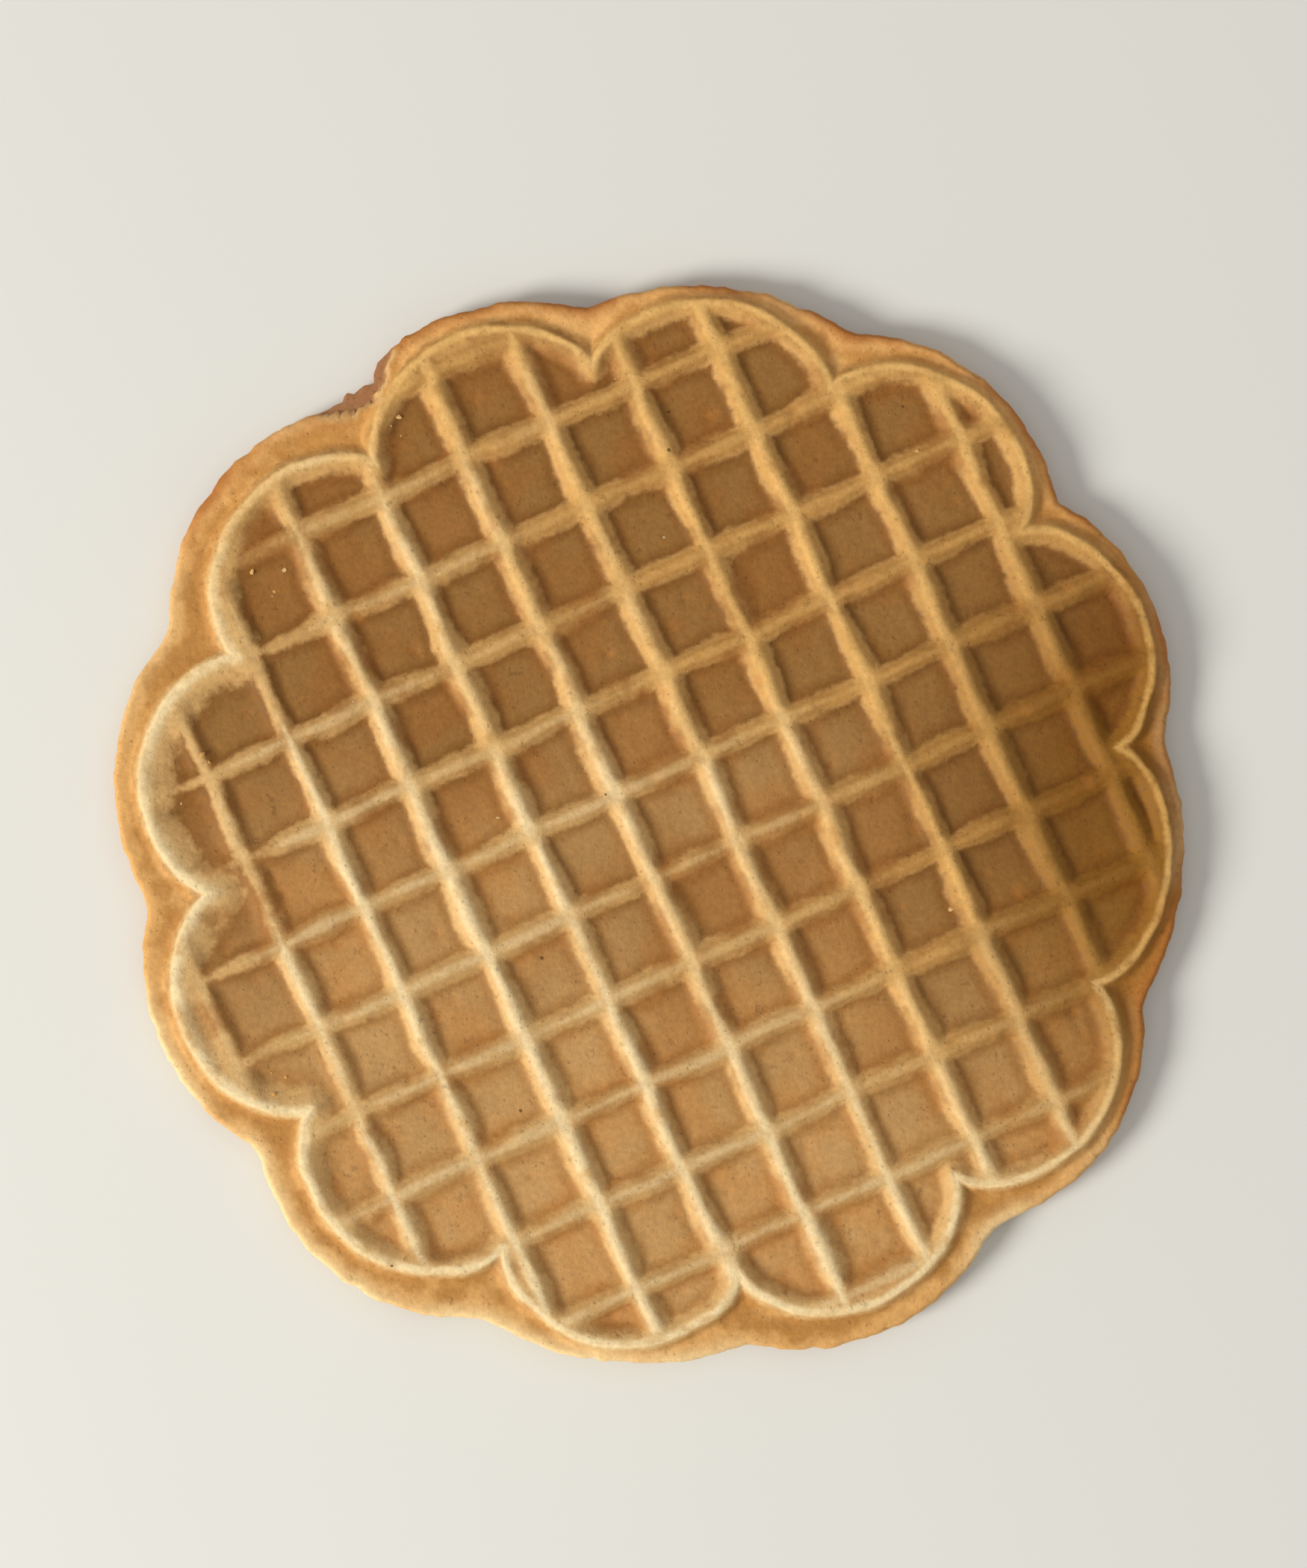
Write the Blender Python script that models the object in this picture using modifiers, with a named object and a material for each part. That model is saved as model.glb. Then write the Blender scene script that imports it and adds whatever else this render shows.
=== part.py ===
# A pizzelle: one thin wafer cookie with a petalled edge and a waffle pattern pressed into
# both faces. Metres, +Z up. It lies flat on its lower ridges, centred on the origin.
import math
import random

import bmesh
import bpy
from mathutils import Matrix, Vector

MM = 0.001

# Thicknesses
WAFER_THICKNESS = 4.8 * MM  # over the ridges of both faces
RIM_THICKNESS = 2.3 * MM  # the smooth band outside the pattern
RELIEF = 1.3 * MM  # how far a cell's floor lies below its ridges, on each face

# The ring of petals, anticlockwise. The first valley lies at PATTERN_START.
PETALS = 12
PATTERN_START = math.radians(9.2)

# Batter that spread past the pattern: the wafer's edge, from the pattern's centre
VALLEY_REACH = [r * MM for r in (59.4, 59.2, 61.2, 61.0, 62.4, 62.4, 61.6, 61.6, 62.3, 62.4, 61.2, 60.0)]
PETAL_REACH = [r * MM for r in (63.0, 64.1, 63.3, 64.9, 66.3, 65.4, 65.2, 66.4, 64.3, 65.7, 64.7, 61.4)]
EDGE_FULLNESS = 0.75  # under 1 rounds the petals out and sharpens the valleys
EDGE_WANDER = 0.35 * MM
EDGE_ROUNDING = 0.8 * MM
CHIP_ANGLE = math.radians(123)
CHIP_HALF_ANGLE = math.radians(3.5)
CHIP_DEPTH = 1.3 * MM

# The raised arc that follows each petal
ARC_VALLEY = 53.8 * MM
ARC_REACH = 61.8 * MM
ARC_FULLNESS = 0.62
ARC_HALF_WIDTH = 1.35 * MM
OUTER_VALLEY_OFFSET = 2.2 * MM  # from the crest, where the outer sides of two arcs meet
INNER_FULLNESS = 0.8  # keeps the arcs' inner side clear of the crest beside each valley
LEAST_RIM = 2.1 * MM  # from an arc's crest to the wafer's edge
RIDGE_ROUNDING = 0.6 * MM

# The waffle lattice inside the arcs
LATTICE_TURN = math.radians(24.2)
LATTICE_PITCH = 10.8 * MM
LATTICE_SHIFT = Vector((1.4, 0.3)) * MM  # from the pattern's centre to a cell's middle
CELL_MOUTH = 8.2 * MM
CELL_FLOOR = 6.5 * MM
CELL_OVERHANG = 0.12  # how far outside the arcs the middle of a part cell may lie, in pitches

OUTLINE_STEPS = 12  # points along each petal
CLEARANCE = 1.0 * MM  # how far a cutter runs past the faces

WAFER_COLOUR = (0.52, 0.29, 0.11, 1.0)


def clear_scene():
    for obj in list(bpy.data.objects):
        bpy.data.objects.remove(obj, do_unlink=True)


def new_collection(name):
    collection = bpy.data.collections.new(name)
    bpy.context.scene.collection.children.link(collection)
    return collection


def ring_radius(angle, valleys, tops, fullness):
    """Radius of a ring of petals that swell between their valleys."""
    turn = (angle - PATTERN_START) % math.tau / math.tau * PETALS
    petal = int(turn) % PETALS
    along = turn - int(turn)
    start = valleys[petal]
    end = valleys[(petal + 1) % PETALS]
    swell = tops[petal] - (start + end) / 2
    return start + (end - start) * along + swell * math.sin(math.pi * along) ** fullness


def edge_radius(angle):
    """The wafer's uneven edge, with the chip in one valley."""
    radius = ring_radius(angle, VALLEY_REACH, PETAL_REACH, EDGE_FULLNESS)
    chip = math.exp(-(((angle - CHIP_ANGLE) / CHIP_HALF_ANGLE) ** 2))
    return radius - CHIP_DEPTH * chip


def arc_radius(angle, offset=0.0, valley_offset=0.0, fullness=ARC_FULLNESS):
    """The crest of the raised arcs, kept inside the edge, or a line beside it."""
    tops = [min(ARC_REACH, reach - LEAST_RIM) + offset for reach in PETAL_REACH]
    return ring_radius(angle, [ARC_VALLEY + valley_offset] * PETALS, tops, fullness)


def arc_outer_radius(angle):
    return arc_radius(angle, ARC_HALF_WIDTH, OUTER_VALLEY_OFFSET)


def arc_inner_radius(angle):
    return arc_radius(angle, -ARC_HALF_WIDTH, -ARC_HALF_WIDTH, INNER_FULLNESS)


def ring_points(radius_at, wander=0.0):
    """Points round the pattern's centre, a few to each petal and one in each valley."""
    uneven = random.Random(7)
    steps = PETALS * OUTLINE_STEPS
    points = []
    for step in range(steps):
        angle = (PATTERN_START + math.tau * step / steps) % math.tau
        radius = radius_at(angle) + uneven.uniform(-wander, wander)
        points.append(Vector((radius * math.cos(angle), radius * math.sin(angle))))
    return points


def plate(name, points, low, high, collection):
    """A flat outline as a solid from low to high."""
    curve = bpy.data.curves.new(name + "_outline", "CURVE")
    curve.dimensions = "2D"
    curve.fill_mode = "BOTH"
    curve.extrude = (high - low) / 2
    spline = curve.splines.new("POLY")
    spline.points.add(len(points) - 1)
    for target, point in zip(spline.points, points):
        target.co = (point.x, point.y, 0.0, 1.0)
    spline.use_cyclic_u = True
    outline = bpy.data.objects.new(name + "_outline", curve)
    outline.location.z = (low + high) / 2
    collection.objects.link(outline)
    bpy.context.view_layer.update()

    evaluated = outline.evaluated_get(bpy.context.evaluated_depsgraph_get())
    mesh = bpy.data.meshes.new_from_object(evaluated)
    weld(mesh)
    solid = bpy.data.objects.new(name, mesh)
    solid.matrix_world = outline.matrix_world
    collection.objects.link(solid)
    bpy.data.objects.remove(outline, do_unlink=True)
    return solid


def weld(mesh):
    """Joins the caps to the wall, and leaves each cap as one flat face."""
    bm = bmesh.new()
    bm.from_mesh(mesh)
    bmesh.ops.remove_doubles(bm, verts=bm.verts, dist=0.001 * MM)
    bmesh.ops.dissolve_limit(bm, angle_limit=math.radians(0.5), verts=bm.verts, edges=bm.edges)
    bmesh.ops.recalc_face_normals(bm, faces=bm.faces)
    bm.to_mesh(mesh)
    bm.free()


def round_edges(obj, width):
    bevel = obj.modifiers.new("rounded_edge", "BEVEL")
    bevel.width = width
    bevel.segments = 2
    bevel.limit_method = "ANGLE"
    bevel.angle_limit = math.radians(50)


def combine(obj, other, operation):
    boolean = obj.modifiers.new(operation.lower() + "_" + other.name, "BOOLEAN")
    boolean.operation = operation
    boolean.object = other
    boolean.solver = "EXACT"


def hide_tool(obj):
    obj.hide_render = True
    obj.display_type = "WIRE"


def lattice_middles():
    """Middles of the cells that fall inside the arcs."""
    count = math.ceil(ARC_REACH / LATTICE_PITCH)
    for row in range(-count, count + 1):
        for column in range(-count, count + 1):
            offset = Vector((column, row)) * LATTICE_PITCH
            middle = offset @ Matrix.Rotation(-LATTICE_TURN, 2) + LATTICE_SHIFT
            angle = math.atan2(middle.y, middle.x)
            if middle.length < arc_radius(angle) + CELL_OVERHANG * LATTICE_PITCH:
                yield middle


def build_cells(collection):
    """The tool that presses the cells into the upper face: one tapered block for each."""
    floor_height = WAFER_THICKNESS / 2 - RELIEF
    depth = RELIEF + CLEARANCE
    flare = (CELL_MOUTH - CELL_FLOOR) * depth / RELIEF
    corner = math.sqrt(0.5)
    bm = bmesh.new()
    for middle in lattice_middles():
        place = Matrix.Translation((middle.x, middle.y, floor_height + depth / 2))
        bmesh.ops.create_cone(
            bm,
            cap_ends=True,
            segments=4,
            radius1=CELL_FLOOR * corner,
            radius2=(CELL_FLOOR + flare) * corner,
            depth=depth,
            matrix=place @ Matrix.Rotation(LATTICE_TURN + math.pi / 4, 4, "Z"),
        )
    mesh = bpy.data.meshes.new("cells")
    bm.to_mesh(mesh)
    bm.free()
    cells = bpy.data.objects.new("cells", mesh)
    collection.objects.link(cells)
    return cells


def build_cell_bounds(collection):
    """The space inside the arcs, which flares towards the upper face as the cells do."""
    floor_height = WAFER_THICKNESS / 2 - RELIEF
    low = floor_height - CLEARANCE
    high = WAFER_THICKNESS / 2 + 2 * CLEARANCE
    slope = (CELL_MOUTH - CELL_FLOOR) / 2 / RELIEF
    bounds = plate("cell_bounds", ring_points(arc_inner_radius), low, high, collection)
    for vertex in bounds.data.vertices:
        height = bounds.location.z + vertex.co.z - WAFER_THICKNESS / 2
        growth = 1 + slope * height / ARC_REACH
        vertex.co.x *= growth
        vertex.co.y *= growth
    return bounds


def build_press(collection):
    """Both faces' cells, as one tool."""
    cells = build_cells(collection)
    bounds = build_cell_bounds(collection)
    combine(cells, bounds, "INTERSECT")
    mirror = cells.modifiers.new("lower_face", "MIRROR")
    mirror.use_axis = (False, False, True)
    mirror.use_mirror_merge = False
    mirror.merge_threshold = 0.0001
    hide_tool(cells)
    hide_tool(bounds)
    return cells


def build_raised_field(collection):
    """The full-thickness middle, out to the arcs' outer side, before the cells are pressed."""
    half = WAFER_THICKNESS / 2
    field = plate("raised_field", ring_points(arc_outer_radius), -half, half, collection)
    round_edges(field, RIDGE_ROUNDING)
    hide_tool(field)
    return field


def build_wafer(parts, tools):
    """The thin wafer out to its edge, with the field raised on it and the cells pressed in."""
    edge = ring_points(edge_radius, EDGE_WANDER)
    half = RIM_THICKNESS / 2
    wafer = plate("pizzelle", edge, -half, half, parts)
    round_edges(wafer, EDGE_ROUNDING)
    combine(wafer, build_raised_field(tools), "UNION")
    combine(wafer, build_press(tools), "DIFFERENCE")
    wafer.data.materials.append(wafer_material())
    return wafer


def stand_on_ground(obj, tools):
    """Moves the wafer and its tools so that its box is centred over the origin."""
    bpy.context.view_layer.update()
    evaluated = obj.evaluated_get(bpy.context.evaluated_depsgraph_get())
    corners = [obj.matrix_world @ Vector(corner) for corner in evaluated.bound_box]
    low = Vector([min(corner[axis] for corner in corners) for axis in range(3)])
    high = Vector([max(corner[axis] for corner in corners) for axis in range(3)])
    move = Vector((-(low.x + high.x) / 2, -(low.y + high.y) / 2, -low.z))
    for item in [obj, *tools.objects]:
        item.location += move


def wafer_material():
    material = bpy.data.materials.new("wafer")
    material.use_nodes = True
    shader = material.node_tree.nodes["Principled BSDF"]
    shader.inputs["Base Color"].default_value = WAFER_COLOUR
    shader.inputs["Roughness"].default_value = 0.72
    shader.inputs["Metallic"].default_value = 0.0
    material.diffuse_color = WAFER_COLOUR
    return material


def main():
    clear_scene()
    parts = new_collection("pizzelle_cookie")
    tools = new_collection("cutters")
    wafer = build_wafer(parts, tools)
    stand_on_ground(wafer, tools)


main()
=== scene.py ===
import math
import random

import bmesh
import bpy
import numpy as np
from mathutils import Matrix, Vector, noise


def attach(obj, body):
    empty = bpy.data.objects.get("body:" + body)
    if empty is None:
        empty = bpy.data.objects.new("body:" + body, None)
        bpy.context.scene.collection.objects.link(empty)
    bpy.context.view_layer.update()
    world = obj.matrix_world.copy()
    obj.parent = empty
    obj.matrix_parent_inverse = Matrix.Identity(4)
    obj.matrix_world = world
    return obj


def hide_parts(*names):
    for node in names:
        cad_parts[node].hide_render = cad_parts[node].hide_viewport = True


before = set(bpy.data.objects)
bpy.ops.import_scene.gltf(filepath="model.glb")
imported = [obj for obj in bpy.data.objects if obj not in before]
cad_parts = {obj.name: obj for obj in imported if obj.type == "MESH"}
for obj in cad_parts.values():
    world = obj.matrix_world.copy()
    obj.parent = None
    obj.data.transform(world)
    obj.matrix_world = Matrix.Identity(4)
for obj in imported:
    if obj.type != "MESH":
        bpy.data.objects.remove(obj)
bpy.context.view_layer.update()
print("frame loaded")

mm = 0.001

# What the iron presses. Lengths in mm from the pattern's middle, angles in degrees from +X.
pattern = {
    "petals": 12,
    "start": 9.2,  # the first valley between two petals
    "middle": (2.175, 0.550),  # of the pattern, from the middle of the cookie
}

# The raised arc that follows each petal
arcs = {
    "valley": 53.8,
    "top": 61.8,
    "fullness": 0.62,
    "wander": (0.28, 6.0),  # how far off the iron's line, and over what length
    "flat": 0.1,  # half of the level top
    "outside": 1.7,  # how far the outer slope runs
    "inside": 2.5,  # and the inner one
    "shoulder": 0.20,  # the share of the inner slope that falls near the top
    "shoulderTo": 1.4,
    "slopeFrom": 0.5,  # where the rest of it starts
    "filled": (0.97, 0.20, 5.5),  # how full of batter, how unlike, and over what length
    "leastFilled": 0.7,
    "latticeFrom": (-0.2, 0.6),  # where the lattice starts, inwards from the crest
    "broaderAt": 185.0,  # the arcs on this side are broader inside
    "broaderSpan": 0.24,  # how far round, as a fall of the cosine
    "broader": 1.6,
    "broaderTone": 0.55,  # how far their tones spread with them
    "fainter": 0.4,  # and the ridges beside them stand this much lower
    "fainterTo": (4.0, 13.0),  # inwards, where that begins to fade and where it is gone
    "fainterTone": 2.4,  # and how much narrower their tones are
}

# The two runs of ridges that cross inside the arcs
ridges = {
    "turn": 24.2,
    "pitch": 10.8,
    "shift": (1.4, 0.3),  # from the pattern's middle to a cell's middle
    "top": 0.30,  # half widths of a ridge, where it is full height and where it meets the floor
    "foot": 2.05,
    "straight": 0.4,  # the share of a slope that isn't rounded off
    "wander": (0.35, 9.0),
    "thickness": (0.24, 8.0),
    "filled": (0.92, 0.28, 11.0),
    "leastFilled": 0.5,
    "thinner": 1.6,  # how much narrower its tones are where a ridge isn't full
}

# Batter that spread past the pattern. Reaches in mm, one to a valley and one to a petal.
batter = {
    "valleys": (59.4, 59.2, 61.2, 61.0, 62.4, 62.4, 61.6, 61.6, 62.3, 62.4, 61.2, 60.0),
    "petals": (63.0, 64.1, 63.3, 64.9, 66.3, 65.4, 65.2, 66.4, 64.3, 65.7, 64.7, 61.4),
    "fullness": 0.75,
    "softened": 1.1,  # degrees over which the edge's corners are rounded
    "arcSoftened": 3.0,  # and the arcs' corners, for the rings of points further in
    "leastRim": 2.1,
    "ragged": ((0.27, 3.4), (0.15, 1.3)),  # coarse and fine: how far, and over what length
    "bulge": (0.05, 5.0),  # of the edge, up and down
}

# One place where the edge is torn and the upper skin has flaked off behind it. Angles and the
# two widths in degrees, the rest in mm.
tear = {
    "angle": 124.5,
    "width": 3.0,
    "depth": 1.5,
    "ragged": (0.6, 1.1),
    "flakeAngle": 125.5,
    "flakeWidth": 4.6,
    "flakeDepth": 2.1,
    "flakeRagged": (0.5, 1.6),
    "flakeEnds": (0.15, 0.5),  # how deep the flake is where it starts and where it is whole
    "step": (-0.1, 0.3),  # over which the surface drops from the whole skin
    "lip": (0.35, 0.5),  # the band of broken skin: how far back it lies, and half its width
}

# Heights in mm above the middle of the wafer, the same on both faces
level = {
    "middle": 2.4,
    "ridge": 2.34,
    "crest": 2.38,
    "crestTo": 2.0,  # mm from the arcs to where the ridges are at their own height
    "floor": 1.1,
    "rim": 1.16,
    "torn": 0.30,
    "edgeRound": 0.75,
}

# How uneven each face is. A pair is by how much and over what length, in mm, if not noted.
uneven = {
    "sag": (0.16, 30.0),
    "swell": (0.07, 7.0),
    "lumps": (0.06, 2.6),
    "rimLumps": (0.05, 1.7),
    "crumb": (0.06, 0.9),
    "sagFrom": (0.0, 8.0),  # mm from the edge
    "rimFrom": (1.5, 3.0),  # mm outside the arcs
    "crestWidth": 1.1,  # how far the arcs are crumbly from their crests
    "ridgeWidth": 0.7,  # and the steep run of ridges
    "ridgeShare": 0.4,  # which is this much as crumbly
}

# Shallow pocks where bubbles burst under the iron: how many on each face, and their sizes in mm
pocks = {
    "number": 130,
    "reach": 61.0,
    "radius": (0.35, 0.85),
    "depth": (0.10, 0.28),
    "longer": (0.7, 1.4),  # how much longer one way than the other
    "seed": 8,
}

# What the mesh keeps at each point for its finish: distances in mm, and masks from 0 to 1
keptOnMesh = ("acrossSteep", "acrossShallow", "fromArc", "toEdge", "pock", "torn", "flake")
farFromEdge = 6.0  # mm, past which the distance from the edge isn't kept


def smooth(low, high, value):
    t = np.clip((value - low) / (high - low), 0.0, 1.0)
    return t * t * (3 - 2 * t)


def lumps(x, y, size, seed, octaves=2):
    # soft noise over the wafer, about -1 to 1, with another slice of it for each seed
    flat = zip(np.ravel(x) / size, np.ravel(y) / size)
    values = [noise.fractal(Vector((u, v, seed * 7.31)), 0.8, 2.0, octaves) for u, v in flat]
    return np.array(values).reshape(np.shape(x))


def swing(setting, x, y, seed, octaves=2):
    # lumps by so much over such a length
    amount, size = setting
    return amount * lumps(x, y, size, seed, octaves)


def filling(settings, x, y, seed):
    # how much of its height the batter filled
    filled, unlike, size = settings["filled"]
    return np.clip(filled + unlike * lumps(x, y, size, seed), settings["leastFilled"], 1.0)


def petalRing(angle, valleys, tops, fullness):
    turn = (angle - math.radians(pattern["start"])) % math.tau / math.tau * pattern["petals"]
    petal = np.floor(turn).astype(int) % pattern["petals"]
    along = turn - np.floor(turn)
    valleys, tops = np.array(valleys), np.array(tops)
    first, last = valleys[petal], valleys[(petal + 1) % pattern["petals"]]
    swell = tops[petal] - (first + last) / 2
    return first + (last - first) * along + swell * np.sin(np.pi * along) ** fullness


def arcReach(angle):
    tops = [min(arcs["top"], reach - batter["leastRim"]) for reach in batter["petals"]]
    return petalRing(angle, [arcs["valley"]] * pattern["petals"], tops, arcs["fullness"])


# The edge and the evened arcs are worked out once, at so many points round the wafer
ringSteps = 4320
roundTheWafer = np.arange(ringSteps + 1) / ringSteps * math.tau


def evened(reach, degrees):
    # a ring with its corners rounded over about so many degrees
    sigma = degrees * ringSteps / 360
    wide = round(3.4 * sigma)  # far enough for the bell to fade out
    bell = np.exp(-0.5 * (np.arange(-wide, wide + 1) / sigma) ** 2)
    rounded = np.convolve(np.pad(reach[:-1], wide, "wrap"), bell / bell.sum(), "valid")
    return np.append(rounded, rounded[0])


def evenedArc():
    # the arcs without their sharp valleys, for the rings further in
    reach = evened(arcReach(roundTheWafer), batter["arcSoftened"])
    return lambda at: np.interp(at % math.tau, roundTheWafer, reach)


def raggedEdge():
    # the baked edge
    angle = roundTheWafer
    reach = petalRing(angle, batter["valleys"], batter["petals"], batter["fullness"])
    reach = evened(reach, batter["softened"])
    x, y = reach * np.cos(angle), reach * np.sin(angle)
    coarse, fine = batter["ragged"]
    reach += swing(coarse, x, y, 3) + swing(fine, x, y, 4)
    torn = np.exp(-((np.degrees(angle) - tear["angle"]) / tear["width"]) ** 2)
    reach -= torn * tear["depth"] * (1 + swing(tear["ragged"], x, y, 5))
    return lambda at: np.interp(at % math.tau, angle, reach)


edgeReach = raggedEdge()
innerReach = evenedArc()

# How far round, in steps of so many degrees, a ring's nearest point is looked for
search = {"steps": 64, "degrees": 0.13}


def inwardFrom(x, y, reachAt):
    # distance from a ring round the pattern, positive inside it
    angle = np.arctan2(y, x)
    nearest = np.full(np.shape(x), np.inf)
    for step in range(-search["steps"], search["steps"] + 1):
        other = angle + math.radians(step * search["degrees"])
        reach = reachAt(other)
        away = np.hypot(x - reach * np.cos(other), y - reach * np.sin(other))
        nearest = np.minimum(nearest, away)
    return np.where(np.hypot(x, y) < reachAt(angle), nearest, -nearest)


def latticeRise(x, y, seed):
    # the two runs of ridges: how high they stand, and how far each point lies from either run
    wx = x + swing(ridges["wander"], x, y, seed + 1) - ridges["shift"][0]
    wy = y + swing(ridges["wander"], x, y, seed + 2) - ridges["shift"][1]
    turn = math.radians(ridges["turn"])
    runs = (wx * math.cos(turn) + wy * math.sin(turn), wy * math.cos(turn) - wx * math.sin(turn))
    foot, top, straight = ridges["foot"], ridges["top"], ridges["straight"]
    bare, across = 1.0, []
    for run, own in zip(runs, (3, 5)):
        thick = 1 + swing(ridges["thickness"], x, y, seed + own)
        filled = filling(ridges, x, y, seed + own + 1)
        cell = run / ridges["pitch"]
        away = np.abs(cell - np.floor(cell) - 0.5) * ridges["pitch"] / thick
        near = np.clip((foot - away) / (foot - top), 0, 1)
        bare = bare * (1 - filled * (straight * near + (1 - straight) * smooth(0.0, 1.0, near)))
        across.append(away + ridges["thinner"] * (1 - filled))
    return 1 - bare, across


def arcRise(x, y, toArc, broader, seed):
    # how high the arcs stand
    outside = 1 - smooth(arcs["flat"], arcs["outside"], -toArc)
    shoulder = arcs["shoulder"] * smooth(arcs["flat"], arcs["shoulderTo"], toArc)
    slope = (1 - arcs["shoulder"]) * smooth(arcs["slopeFrom"], arcs["inside"] + broader, toArc)
    return np.where(toArc < 0, outside, 1 - shoulder - slope) * filling(arcs, x, y, seed + 6)


def unevenFace(x, y, z, height, toArc, toEdge, steepRun, seed):
    # the face with its sag and lumps, and with crumbly crests
    sag, sagSize = uneven["sag"]
    z = z - sag * (0.5 + 0.5 * lumps(x, y, sagSize, seed + 7)) * smooth(*uneven["sagFrom"], toEdge)
    z += swing(uneven["swell"], x, y, seed + 8) * (1 - height)
    z += swing(uneven["lumps"], x, y, seed + 9, 3) * (1 - 0.5 * height)
    z += swing(uneven["rimLumps"], x, y, seed + 12) * smooth(*uneven["rimFrom"], -toArc)
    onCrest = np.exp(-(toArc / uneven["crestWidth"]) ** 2)
    onRidge = uneven["ridgeShare"] * np.exp(-(steepRun / uneven["ridgeWidth"]) ** 2)
    crumb, crumbSize = uneven["crumb"]
    z -= crumb * (1 + lumps(x, y, crumbSize, seed + 11, 1)) * np.maximum(onCrest, onRidge)
    return z


def pressedFace(x, y, seed, isTop):
    # height of one face above the middle of the wafer, and what its finish goes by
    lattice, across = latticeRise(x, y, seed)
    toArc = inwardFrom(x, y, arcReach) + swing(arcs["wander"], x, y, seed + 13)
    toEdge = inwardFrom(x, y, edgeReach)
    turned = np.cos(np.arctan2(y, x) - math.radians(arcs["broaderAt"])) - 1
    thatSide = np.exp(-(turned / arcs["broaderSpan"]) ** 2)
    broader = arcs["broader"] * thatSide
    faint = arcs["fainter"] * thatSide * (1 - smooth(*arcs["fainterTo"], toArc))
    within = smooth(*arcs["latticeFrom"], toArc)
    lattice = lattice * (1 - faint)
    height = 1 - (1 - arcRise(x, y, toArc, broader, seed)) * (1 - lattice * within)

    base = level["floor"] + (level["rim"] - level["floor"]) * (1 - within)
    onArc = 1 - smooth(0.0, level["crestTo"], np.abs(toArc))
    top = level["ridge"] + (level["crest"] - level["ridge"]) * onArc
    z = base + height * (top - base)
    z = unevenFace(x, y, z, height, toArc, toEdge, across[0], seed)
    pocking = pocked(x, y, seed)
    z -= pocking
    torn, flake = tornSkin(x, y) if isTop else (0 * x, 0 * x)
    z += (level["torn"] - z) * torn
    rounding = np.clip(1 - toEdge / level["edgeRound"], 0, 1)
    z *= np.sqrt(np.clip(1 - rounding ** 2, 0, 1))

    kept = {
        "acrossSteep": across[0] + arcs["fainterTone"] * faint,
        "acrossShallow": across[1] + arcs["fainterTone"] * faint,
        "fromArc": np.where(toArc > 0, toArc / (1 + arcs["broaderTone"] * broader), toArc),
        "toEdge": np.clip(toEdge, 0.0, farFromEdge),
        "pock": pocking / pocks["depth"][1],
        "torn": torn,
        "flake": flake,
    }
    return np.minimum(z, level["middle"]), kept


def pocked(x, y, seed):
    # how deep the pocks go at each point
    pick = random.Random(pocks["seed"] + seed)
    depth = np.zeros(np.shape(x))
    for _ in range(pocks["number"]):
        angle = pick.uniform(0, math.tau)
        reach = pocks["reach"] * math.sqrt(pick.random())
        radius = pick.uniform(*pocks["radius"])
        deep = pick.uniform(*pocks["depth"])
        longer = pick.uniform(*pocks["longer"])
        away = np.hypot(x - reach * math.cos(angle), (y - reach * math.sin(angle)) * longer)
        depth = np.maximum(depth, deep * np.exp(-(away / radius) ** 2))
    return depth


def tornSkin(x, y):
    # 1 where the upper skin is missing, and a band along the broken skin
    angle = np.arctan2(y, x)
    turned = (np.degrees(angle) - tear["flakeAngle"]) / tear["flakeWidth"]
    back = tear["flakeDepth"] * np.exp(-turned ** 4) * (1 + swing(tear["flakeRagged"], x, y, 41, 3))
    past = np.hypot(x, y) - (edgeReach(angle) - back)
    there = smooth(*tear["flakeEnds"], back)
    lipBack, lipWide = tear["lip"]
    return smooth(*tear["step"], past) * there, np.exp(-((past + lipBack) / lipWide) ** 2) * there


# How finely each face is drawn: spacing of the rings in mm, spokes round the edge, and the shares
# of the way out at which their number halves
fineness = {
    "spokes": 720,
    "insideFrom": 57.0,  # about the reach of the arcs' crests, where the inner rings start
    "arcsTo": 52.5,  # rings beyond this are spaced for the arcs
    "innermost": 0.6,
    "follow": (0.45, 1.0),  # shares of the way out from which the rings follow the petals
    "sharp": (0.92, 1.0),  # and their sharp valleys
    "top": {
        "lattice": 0.44,
        "arc": 0.33,
        "rim": 12,
        "rounded": (0.07, 0.17, 0.30, 0.45, 0.62),
        "halved": (0.55, 0.28, 0.13),
    },
    "bottom": {
        "lattice": 0.9,
        "arc": 0.8,
        "rim": 6,
        "rounded": (0.1, 0.3, 0.55),
        "halved": (1.01, 0.5, 0.25),
    },
}


def rimRing(part, widest):
    # a ring between the arcs and the rounding of the edge
    return lambda a: arcReach(a) + part * (edgeReach(a) - widest - arcReach(a))


def insideRing(part):
    # a ring inside the arcs, round near the middle and more like the arcs further out
    follow = smooth(*fineness["follow"], part)
    sharp = smooth(*fineness["sharp"], part)
    whole = fineness["insideFrom"]
    return lambda a: part * (
        whole + follow * (sharp * arcReach(a) + (1 - sharp) * innerReach(a) - whole))


def ringsOf(face):
    # each ring from the edge inwards: a rule that gives its reach at an angle, and its spokes
    step, spokes = fineness[face], fineness["spokes"]
    rings = [(lambda a, back=back: edgeReach(a) - back, spokes) for back in step["rounded"]]
    for i in range(step["rim"], 0, -1):
        rings.append((rimRing(i / (step["rim"] + 1), max(step["rounded"])), spokes))
    reach = fineness["insideFrom"]
    while reach > fineness["innermost"]:
        part = reach / fineness["insideFrom"]
        halvings = sum(part < limit for limit in step["halved"])
        rings.append((insideRing(part), spokes >> halvings))
        reach -= step["arc"] if reach > fineness["arcsTo"] else step["lattice"]
    return rings


def ringPoints(rule, spokes):
    angle = math.radians(pattern["start"]) + np.arange(spokes) / spokes * math.tau
    reach = rule(angle)
    return reach * np.cos(angle), reach * np.sin(angle)


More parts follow.
